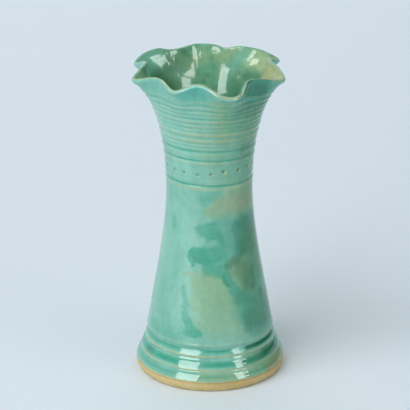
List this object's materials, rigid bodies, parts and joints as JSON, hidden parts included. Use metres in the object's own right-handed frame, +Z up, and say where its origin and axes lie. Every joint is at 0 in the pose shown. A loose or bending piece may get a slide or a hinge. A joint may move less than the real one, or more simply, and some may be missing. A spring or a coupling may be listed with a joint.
{
  "type": "pottery vase",
  "caption": "Wheel-thrown stoneware vase with a stepped round foot, a waisted body, a ringed neck and a ruffled, flared lip, glazed inside and out.",
  "frame": {"origin": "on the surface the vase stands on, under the vase's axis", "axes": "+Z up along the vase's axis, -Y towards the pictured front, +X to the viewer's right"},
  "size_m": [0.1303, 0.1304, 0.2762],
  "materials": {
    "bare_clay": "bare fired buff stoneware, matte",
    "outer_glaze": "glossy copper-green glaze, mottled, breaking buff on edges",
    "inner_glaze": "glossy green liner glaze, darker towards the bottom"
  },
  "bodies": {
    "root": {"stoneware_body": "bare_clay", "outer_glaze": "outer_glaze", "inner_glaze": "inner_glaze"}
  },
  "joints": []
}
